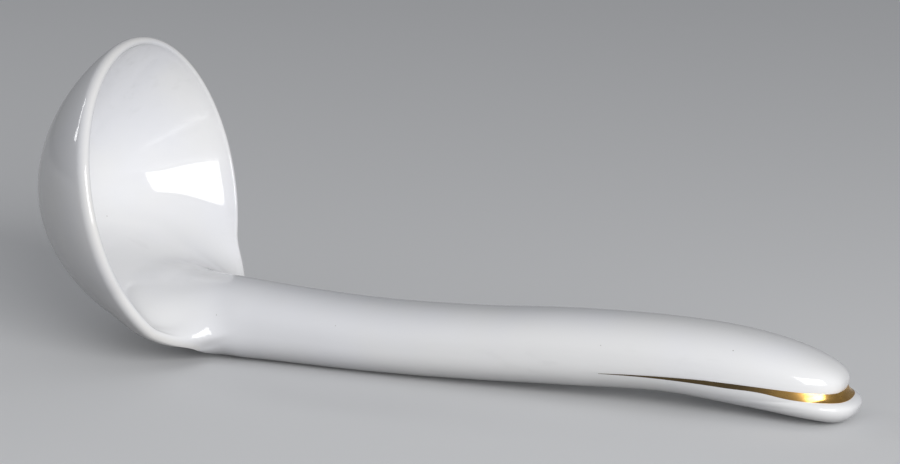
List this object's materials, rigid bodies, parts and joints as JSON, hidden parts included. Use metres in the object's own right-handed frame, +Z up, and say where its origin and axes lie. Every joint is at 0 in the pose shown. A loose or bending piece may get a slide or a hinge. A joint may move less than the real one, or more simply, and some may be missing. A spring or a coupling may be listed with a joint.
{
  "type": "gravy ladle",
  "caption": "Small porcelain gravy ladle: a round deep bowl set nearly upright at the end of a long oval handle that lies flat, with a gilt line round the handle's tip.",
  "frame": {"origin": "on the table, under the middle of the ladle's length", "axes": "+X along the handle from the bowl to the tip, +Z up from the table"},
  "size_m": [0.1658, 0.061, 0.062],
  "materials": {
    "bowl_glaze": "white porcelain under a clear gloss glaze",
    "handle_glaze": "white porcelain under a clear gloss glaze",
    "web_glaze": "white porcelain under a clear gloss glaze",
    "tongue_glaze": "white porcelain under a clear gloss glaze",
    "slip": "fired slip, hidden in the joints",
    "gilt": "fired gold, burnished and a little worn"
  },
  "bodies": {
    "root": {"bowl": "bowl_glaze", "handle": "handle_glaze", "root_web": "web_glaze", "root_slip": "slip", "end_tongue": "tongue_glaze", "tongue_slip": "slip", "gilt_band": "gilt"}
  },
  "joints": []
}
